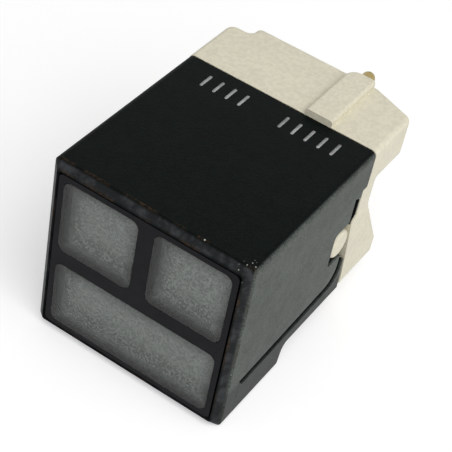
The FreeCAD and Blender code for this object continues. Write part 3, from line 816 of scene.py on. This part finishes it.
@dataclass(frozen=True)
class Metal(Finish):
    """Metal with fine drawn lines, tarnish and pinholes."""

    tarnish: Colour = (0.2, 0.12, 0.05)
    tarnish_share: float = 0.4
    along: Point = (1.0, 1.0, 1.0)
    line_scale: float = 6000.0
    line_rough: float = 0.08
    patch_scale: float = 900.0
    pits: Scatter = Scatter(3000.0, 0.12, 0.08)
    dull_rough: float = 0.2
    depth: float = 0.004 * MM

    def dress(self, graph: Graph, shader: bpy.types.Node, effects: Effects) -> None:
        """Tarnish in the colour, and drawn lines in the roughness and the normal.

        Args:
            graph: the material's graph.
            shader: the material's Principled shader.
            effects: the shared node groups.
        """
        place = graph.place()
        stretched = graph.vector("MULTIPLY", place, self.along)
        lines = graph.group(effects.grain, place=stretched, scale=self.line_scale)
        smudge = graph.group(effects.smudges, place=place, scale=self.patch_scale)["Mask"]
        tarnished = graph.math("MULTIPLY", smudge, self.tarnish_share)
        dull = graph.math("MAXIMUM", tarnished, self.pits.mask(graph, effects, place))
        graph.feed(shader.inputs["Base Color"], graph.blend(dull, self.colour, self.tarnish))
        rough = graph.math("MULTIPLY_ADD", dull, self.dull_rough, self.roughness)
        rough = graph.math("MULTIPLY_ADD", lines["Tone"], self.line_rough, rough)
        graph.feed(shader.inputs["Roughness"], rough)
        self.bump(graph, shader, lines["Height"], self.depth)


@dataclass(frozen=True)
class ClearGlass(Finish):
    """Glass with faint draw lines and a breath of haze."""

    haze: float = 0.05
    haze_scale: float = 500.0
    haze_tint: float = 0.93
    wave_scale: float = 700.0
    along: Point = (1.0, 0.25, 1.0)
    depth: float = 0.006 * MM

    def dress(self, graph: Graph, shader: bpy.types.Node, effects: Effects) -> None:
        """Haze in the roughness, and slow waves in the normal.

        Args:
            graph: the material's graph.
            shader: the material's Principled shader.
            effects: the shared node groups.
        """
        place = graph.place()
        smudge = graph.group(effects.smudges, place=place, scale=self.haze_scale)["Mask"]
        waves = graph.noise(graph.vector("MULTIPLY", place, self.along), self.wave_scale, 1.0)
        hazed = graph.blend(smudge, self.colour, _scaled(self.colour, self.haze_tint))
        graph.feed(shader.inputs["Base Color"], hazed)
        graph.feed(shader.inputs["Roughness"], graph.math("MULTIPLY_ADD", smudge, self.haze, self.roughness))
        self.bump(graph, shader, waves, self.depth)


# ------------------------------------------------------------------ mesh helpers
def _piece(name: str, mesh: bmesh.types.BMesh, body: str | None, finish: bpy.types.Material) -> bpy.types.Object:
    """Turns a bmesh into a piece, which rides on a body if one is given.

    Args:
        name: the piece's name.
        mesh: its geometry in metres; it is freed here.
        body: the CAD body it moves with, or None for a piece that rides on no body.
        finish: its material.

    Returns:
        The new object.
    """
    data = bpy.data.meshes.new(name)
    bmesh.ops.recalc_face_normals(mesh, faces=mesh.faces)
    mesh.to_mesh(data)
    mesh.free()
    data.shade_smooth()
    data.materials.append(finish)
    item = _add_object(name, data)
    if body is not None:
        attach(item, body)
    return item


def _add_object(name: str, data: bpy.types.ID) -> bpy.types.Object:
    """Puts a mesh, a light or a camera into the scene."""
    item = bpy.data.objects.new(name, data)
    bpy.context.scene.collection.objects.link(item)
    return item


def _join_rings(mesh: bmesh.types.BMesh, rings: list[list[bmesh.types.BMVert]]) -> None:
    """Adds the faces between each closed ring of points and the next.

    Args:
        mesh: where the faces go.
        rings: rings with the same number of points.
    """
    for before, after in zip(rings, rings[1:]):
        for index in range(len(before)):
            step = (index + 1) % len(before)
            mesh.faces.new((before[index], before[step], after[step], after[index]))


def _sweep(mesh: bmesh.types.BMesh, path: list[Vector], radius: float, sides: int = 10) -> None:
    """Adds a round closed tube along a path.

    Args:
        mesh: where the faces go.
        path: points along the middle of the tube.
        radius: the tube's radius.
        sides: faces round the tube.
    """
    rings: list[list[bmesh.types.BMVert]] = []
    last = len(path) - 1
    normal = (path[1] - path[0]).orthogonal().normalized()
    for index, point in enumerate(path):
        way = (path[min(index + 1, last)] - path[max(index - 1, 0)]).normalized()
        normal = (normal - way * normal.dot(way)).normalized()
        other = way.cross(normal)
        ring = []
        for side in range(sides):
            angle = 2 * math.pi * side / sides
            ring.append(mesh.verts.new(point + radius * (math.cos(angle) * normal + math.sin(angle) * other)))
        rings.append(ring)
    _join_rings(mesh, rings)
    mesh.faces.new(rings[0])
    mesh.faces.new(reversed(rings[-1]))


def _middle_and_half(node: str) -> Box:
    """Middle and half size of a CAD node's box."""
    low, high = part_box(node)
    return tuple((low + high) / 2), tuple((high - low) / 2)


# ------------------------------------------------------------------ the object
@dataclass
class Capsule:
    """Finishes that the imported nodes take, by material slot, or by node where a node has one of its own."""

    effects: Effects
    finishes: dict[str, bpy.types.Material] = field(default_factory=dict)
    pale_dust: Colour = (0.45, 0.44, 0.4)

    def build(self) -> None:
        """Makes every finish and assigns it to the nodes of its slot."""
        makers = {
            "cap_black": self._cap_black(),
            "frame_black": MouldedPlastic(
                "matt black legend frame", (0.005, 0.0052, 0.0065), 0.5, specular=0.09, grain_scale=7000.0,
                grain_depth=0.02 * MM, tone=0.3, handled=0.03, marks=(Dust(self.pale_dust, 0.02),)),
            "barrier_black": MouldedPlastic(
                "matt black light barrier", (0.004, 0.004, 0.0045), 0.7, specular=0.05, tone=0.2),
            "carrier_white": self._carrier_white(),
            "tick_ink": MouldedPlastic("pale printed ink", (0.3, 0.31, 0.3), 0.6, tone=0.3),
            "brass": Metal("plain brass", (0.6, 0.42, 0.17), 0.3, 1.0, along=(1.0, 0.15, 1.0)),
            "contact_gold": Metal("worn gold plate", (0.4, 0.31, 0.13), 0.3, 1.0, tarnish=(0.13, 0.09, 0.04),
                                  tarnish_share=0.6),
            "spring_steel": Metal("spring wire", (0.58, 0.58, 0.57), 0.25, 1.0, tarnish=(0.3, 0.29, 0.27)),
            "lamp_glass": ClearGlass("lamp glass", (0.97, 0.98, 0.98), 0.03, transmission=1.0),
            "lamp_base_metal": Metal("nickel washed base", (0.7, 0.66, 0.56), 0.32, 1.0,
                                     tarnish=(0.35, 0.29, 0.2), tarnish_share=0.3),
            "lamp_bead": ClearGlass("dark glass bead", (0.05, 0.07, 0.1), 0.12, haze=0.15),
            "solder": Metal("dull solder", (0.6, 0.6, 0.61), 0.42, 1.0, tarnish=(0.33, 0.33, 0.32)),
            "tungsten": Metal("lamp wire", (0.35, 0.34, 0.33), 0.35, 1.0, tarnish=(0.15, 0.14, 0.13)),
        }
        for slot, finish in makers.items():
            self.finishes[slot] = finish.build(self.effects)
        for window in Window:
            pane = "pane_" + window.value
            sheet = "diffuser_" + window.value
            self.finishes[pane] = FrostedAcrylic(
                "frosted pane " + window.value, (0.25, 0.272, 0.255), 0.38, ior=1.46,
                box=_middle_and_half(pane)).build(self.effects)
            self.finishes[sheet] = DiffusingSheet(
                "white sheet " + window.value, (0.45, 0.48, 0.45), 0.6,
                box=_middle_and_half(sheet)).build(self.effects)
        for row in frame["record"]["subparts"]:
            item = frame["nodes"][row["node"]]
            own = self.finishes.get(row["node"])
            for place in item.material_slots:
                place.material = own or self.finishes[row["material_slot"]]
            LOG.info("finished node %s", row["node"])

    def _cap_black(self) -> MouldedPlastic:
        """Textured black of the cap, with painted reflection on its sides, a painted highlight band on its
        bevel, painted glints round one corner and along its edges, and worn round its rim.

        Returns:
            The finish.
        """
        box = _middle_and_half("cap_shell")
        low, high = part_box("cap_shell")
        crease_y = (low.y + 0.02 * MM, low.y + 0.7 * MM)
        corner = (high.x - 0.5 * MM, low.y + 0.5 * MM, high.z - 0.4 * MM)
        marks = (
            # Painted reflection: grey on the sides where the pale surroundings would show.
            PaintedSideReflection((0.108, 0.121, 0.11), box, above=3.6 * MM),
            # Painted highlight: a lighter band across the rounded bevel at the front.
            BevelHighlightBand((0.042, 0.044, 0.048), middle_y=low.y + 0.3 * MM, half=0.34 * MM),
            # Real brown wear along the edges and creases, with painted glints as bright spots in it.
            EdgeWear((0.05, 0.03, 0.018), box, amount=0.9, crease_y=crease_y),
            # Painted glints: bright spots round the front top right corner.
            PaintedCornerGlints(EdgeWear.chip_and_glint_colour, corner, radius=1.3 * MM),
            Dust(self.pale_dust, 0.03),
        )
        return MouldedPlastic(
            "satin black cap", (0.001, 0.0027, 0.0022), 0.4, specular=0.05, grain_scale=7000.0,
            grain_depth=0.006 * MM, speckle=1.0, speckle_scale=6400.0, tone=0.8, handled=0.03, marks=marks)

    def _carrier_white(self) -> MouldedPlastic:
        """Warm white of the carrier, worn along its edges and with brown specks in it.

        Returns:
            The finish.
        """
        marks = (
            EdgeWear((0.5, 0.47, 0.38), _middle_and_half("lamp_carrier"), amount=0.3, chip_and_glint_colour=(0.3, 0.26, 0.19)),
            Dust((0.27, 0.22, 0.14), 0.09),
        )
        return MouldedPlastic(
            "warm white carrier", (0.71, 0.67, 0.53), 0.42, specular=0.25, grain_scale=3600.0,
            grain_depth=0.018 * MM, speckle=0.5, speckle_scale=2600.0, tone=0.065, marks=marks)


@dataclass
class LampDetail:
    """Coiled filament of one lamp, with its support wires."""

    place: LampPlace
    finishes: dict[str, bpy.types.Material]
    wire_radius: float = 0.05 * MM
    coil_radius: float = 0.14 * MM
    coil_share: float = 0.9
    turns: int = 16
    steps_per_turn: int = 12
    sag: float = 0.25 * MM
    support_radius: float = 0.07 * MM
    foot_share: float = 0.8
    knee_depth: float = 1.2 * MM
    head_share: float = 0.95
    shank_middle: float = 0.5
    neck_middle: float = 0.6

    def build(self) -> None:
        """Adds the pieces of this lamp."""
        body = "lamp_" + self.place.value
        node = body + "_filament"
        low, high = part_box(node)
        mesh = bmesh.new()
        middle = (low + high) / 2
        half = (high.x - low.x) / 2 - self.support_radius
        top = low.y + self.coil_radius
        steps = self.turns * self.steps_per_turn
        coil = []
        for step in range(steps + 1):
            share = step / steps
            angle = 2 * math.pi * self.turns * share
            sag = self.sag * math.sin(math.pi * share)
            coil.append(Vector((middle.x + half * self.coil_share * (2 * share - 1),
                                top + sag + self.coil_radius * math.cos(angle),
                                middle.z + self.coil_radius * math.sin(angle))))
        _sweep(mesh, coil, self.wire_radius, 6)
        for side in (-1, 1):
            foot = Vector((middle.x + side * half * self.foot_share, high.y, middle.z))
            knee = Vector((middle.x + side * half, top + self.knee_depth, middle.z))
            head = Vector((middle.x + side * half * self.head_share, top, middle.z))
            shank = foot.lerp(knee, self.shank_middle)
            neck = knee.lerp(head, self.neck_middle)
            _sweep(mesh, [foot, shank, knee, neck, head], self.support_radius)
        item = _piece(body + "_coil", mesh, body, self.finishes["tungsten"])
        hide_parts(node)
        LOG.info("built %s", item.name)


@dataclass
class ContactSpring:
    """Coil spring with closed ends, pressed together between the carrier and the contact plunger."""

    finish: bpy.types.Material
    wire_radius: float = 0.09 * MM
    turns: float = 9.0
    closed_turns: float = 0.9
    steps_per_turn: int = 16

    def build(self) -> None:
        """Adds the spring."""
        low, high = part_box("contact_spring")
        middle = (low + high) / 2
        radius = (high.x - low.x) / 2 - self.wire_radius
        front = low.y + self.wire_radius
        rear = high.y - self.wire_radius
        steps = int(self.turns * self.steps_per_turn)
        path = []
        for step in range(steps + 1):
            turn = self.turns * step / steps
            open_share = (turn - self.closed_turns) / (self.turns - 2 * self.closed_turns)
            lift = min(max(open_share, 0.0), 1.0)
            angle = 2 * math.pi * turn
            path.append(Vector((middle.x + radius * math.cos(angle), front + (rear - front) * lift,
                                middle.z + radius * math.sin(angle))))
        mesh = bmesh.new()
        _sweep(mesh, path, self.wire_radius, 8)
        item = _piece("contact_coil", mesh, None, self.finish)
        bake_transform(item)
        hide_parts("contact_spring")
        LOG.info("built %s", item.name)


@dataclass
class HingeWeb:
    """Thin strip of the moulding that joins the shell and its sprung leaf."""

    finish: bpy.types.Material
    gap: float = 0.06 * MM
    overlap: float = 0.01 * MM
    thickness: float = 0.3 * MM
    inset: float = 0.004 * MM
    edge_radius: float = 0.6 * MM
    tip_height: float = 4.08 * MM
    arc_steps: int = 8
    blend_steps: int = 4

    def build(self) -> None:
        """Adds the strip across the gap between the two bodies, round the leaf's sides and bottom."""
        low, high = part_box("sprung_leaf")
        skins = [self._line(low, high, depth) for depth in (self.inset, self.thickness)]
        outline = skins[0] + skins[1][::-1]
        front = low.y - self.gap - self.overlap
        rear = low.y + self.overlap
        mesh = bmesh.new()
        rings = []
        for step in range(self.blend_steps + 1):
            y = front + (rear - front) * step / self.blend_steps
            rings.append([mesh.verts.new((x, y, z)) for x, z in outline])
        _join_rings(mesh, rings)
        across = len(skins[0])
        for ring in (rings[0], rings[-1]):
            for index in range(across - 1):
                mesh.faces.new((ring[index], ring[index + 1], ring[-index - 2], ring[-index - 1]))
        item = _piece("hinge_web", mesh, None, self.finish)
        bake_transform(item)
        LOG.info("built %s", item.name)

    def _line(self, low: Vector, high: Vector, depth: float) -> list[tuple[float, float]]:
        """Path round the two sides and the bottom, depth below the skin, as (x, z).

        Args:
            low: lowest corner of the leaf's box.
            high: highest corner of the leaf's box.
            depth: how far the path lies below the skin.

        Returns:
            Points along the path.
        """
        radius = max(self.edge_radius - depth, 0.0)
        left = low.x + self.edge_radius
        right = high.x - self.edge_radius
        middle = low.z + self.edge_radius
        points = [(low.x + depth, low.z + self.tip_height)]
        for centre, start in ((left, math.pi), (right, 1.5 * math.pi)):
            for step in range(self.arc_steps + 1):
                angle = start + math.pi / 2 * step / self.arc_steps
                points.append((centre + radius * math.cos(angle), middle + radius * math.sin(angle)))
        points.append((high.x - depth, low.z + self.tip_height))
        return points


@dataclass
class IndexTicks:
    """Plain printed ticks in two groups near the rear edge of the cap's top."""

    finish: bpy.types.Material
    groups: tuple[tuple[float, int], ...] = ((-6.2 * MM, 4), (1.6 * MM, 5))
    pitch: float = 1.26 * MM
    length: float = 1.75 * MM
    width: float = 0.27 * MM
    rear_gap: float = 1.3 * MM
    ink: float = 0.012 * MM
    end_steps: int = 6

    def build(self) -> None:
        """Adds every tick as one thin layer of ink."""
        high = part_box("cap_shell")[1]
        mesh = bmesh.new()
        for first, count in self.groups:
            for index in range(count):
                self._tick(mesh, first + self.pitch * index, high.y - self.rear_gap - self.length / 2, high.z)
        item = _piece("index_ticks", mesh, "cap", self.finish)
        LOG.info("built %s", item.name)

    def _tick(self, mesh: bmesh.types.BMesh, x: float, y: float, z: float) -> None:
        """Adds one round-ended tick that lies on the top.

        Args:
            mesh: where the faces go.
            x: the tick's middle across the top.
            y: the tick's middle along the top.
            z: height of the top.
        """
        radius = self.width / 2
        outline = []
        for end in (1, -1):
            for step in range(self.end_steps + 1):
                angle = math.pi * step / self.end_steps + (0 if end == 1 else math.pi)
                outline.append((x + radius * math.cos(angle),
                                y + end * (self.length / 2 - radius) + radius * math.sin(angle)))
        top = [mesh.verts.new((u, v, z + self.ink)) for u, v in outline]
        bottom = [mesh.verts.new((u, v, z - self.ink)) for u, v in outline]
        mesh.faces.new(top)
        mesh.faces.new(bottom[::-1])
        _join_rings(mesh, [bottom, top])


# ------------------------------------------------------------------ studio
@dataclass
class Softbox:
    """One soft lamp, aimed at the object."""

    name: str
    place: Point
    size: float
    power: float
    colour: Colour = (1.0, 1.0, 1.0)

    def build(self, target: Vector) -> None:
        """Adds the lamp, facing the target.

        Args:
            target: the point that the lamp faces.
        """
        data = bpy.data.lights.new(self.name, "AREA")
        data.shape = "SQUARE"
        data.size = self.size
        data.energy = self.power
        data.color = self.colour
        item = _add_object(self.name, data)
        item.location = self.place
        item.rotation_euler = (target - Vector(self.place)).to_track_quat("-Z", "Y").to_euler()


@dataclass
class Studio:
    """Pale floor, soft light and the camera."""

    floor_half: float = 0.6
    floor_drop: float = 0.02 * MM
    floor_tone: float = 0.8
    floor_glow: float = 0.35
    world_level: float = 0.4
    lamps: tuple[Softbox, ...] = (
        Softbox("key softbox", (0.22, -0.16, 0.34), 0.4, 1.42),
        Softbox("side softbox", (0.34, 0.12, 0.12), 0.2, 0.1, (0.97, 1.0, 0.97)),
    )
    camera_place: Point = (0.039362, -0.083969, 0.090970)
    camera_right: Point = (0.82349, 0.54549, 0.15589)
    camera_up: Point = (-0.47054, 0.50321, 0.72483)
    camera_back: Point = (0.31694, -0.67024, 0.67106)
    lens: float = 114.695
    sensor_width: float = 36.0
    clip: tuple[float, float] = (0.005, 20.0)

    def build(self) -> None:
        """Adds the floor, the lamps, the world and the camera."""
        low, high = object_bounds()
        target = Vector((low + high) / 2)
        self._floor()
        for lamp in self.lamps:
            lamp.build(target)
        self._world()
        self._camera()
        bpy.context.scene.view_settings.view_transform = "Standard"
        LOG.info("built studio")

    def _white_for_looks(self, graph: Graph) -> Socket:
        """1 for what the camera sees straight, in a reflection or through glass.

        Args:
            graph: the graph that needs the mask.

        Returns:
            The mask.
        """
        path = graph.add("ShaderNodeLightPath").outputs
        seen = graph.math("MAXIMUM", path["Is Camera Ray"], path["Is Glossy Ray"])
        return graph.math("MAXIMUM", seen, path["Is Transmission Ray"])

    def _floor(self) -> None:
        """Flat pale floor that keeps a soft shadow."""
        mesh = bmesh.new()
        bmesh.ops.create_grid(mesh, x_segments=2, y_segments=2, size=self.floor_half)
        data = bpy.data.meshes.new("floor")
        mesh.to_mesh(data)
        mesh.free()
        floor = _add_object("floor", data)
        floor.location = (0.0, 0.0, -self.floor_drop)
        material = bpy.data.materials.new("pale floor")
        material.use_nodes = True
        graph = Graph(material.node_tree)
        material.node_tree.nodes.clear()
        matt = graph.add("ShaderNodeBsdfDiffuse")
        matt.inputs["Color"].default_value = (*[self.floor_tone] * 3, 1.0)
        glow = graph.add("ShaderNodeEmission")
        strength = graph.math("MULTIPLY", self._white_for_looks(graph), self.floor_glow)
        graph.feed(glow.inputs["Strength"], strength)
        both = graph.add("ShaderNodeAddShader")
        graph.feed(both.inputs[0], matt.outputs[0])
        graph.feed(both.inputs[1], glow.outputs[0])
        graph.feed(graph.add("ShaderNodeOutputMaterial").inputs["Surface"], both.outputs[0])
        data.materials.append(material)
        floor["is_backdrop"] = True

    def _world(self) -> None:
        """Even pale surroundings, white where they are seen."""
        world = bpy.data.worlds.new("studio")
        world.use_nodes = True
        bpy.context.scene.world = world
        graph = Graph(world.node_tree)
        background = world.node_tree.nodes["Background"]
        background.inputs["Color"].default_value = (1.0, 1.0, 1.0, 1.0)
        white = self._white_for_looks(graph)
        level = graph.math("MULTIPLY_ADD", white, 1.0 - self.world_level, self.world_level)
        graph.feed(background.inputs["Strength"], level)

    def _camera(self) -> None:
        """Camera at the viewing angle, with no depth of field."""
        data = bpy.data.cameras.new("camera")
        data.sensor_fit = "HORIZONTAL"
        data.sensor_width = self.sensor_width
        data.lens = self.lens
        data.clip_start, data.clip_end = self.clip
        item = _add_object("camera", data)
        turn = Matrix((self.camera_right, self.camera_up, self.camera_back)).transposed()
        item.matrix_world = Matrix.Translation(self.camera_place) @ turn.to_4x4()
        bpy.context.scene.camera = item


def main() -> None:
    """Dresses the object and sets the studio."""
    logging.basicConfig(level=logging.INFO)
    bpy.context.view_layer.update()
    capsule = Capsule(Effects())
    capsule.build()
    HingeWeb(capsule.finishes["cap_black"]).build()
    IndexTicks(capsule.finishes["tick_ink"]).build()
    ContactSpring(capsule.finishes["spring_steel"]).build()
    for place in LampPlace:
        LampDetail(place, capsule.finishes).build()
    Studio().build()


if __name__ == "__main__":
    main()
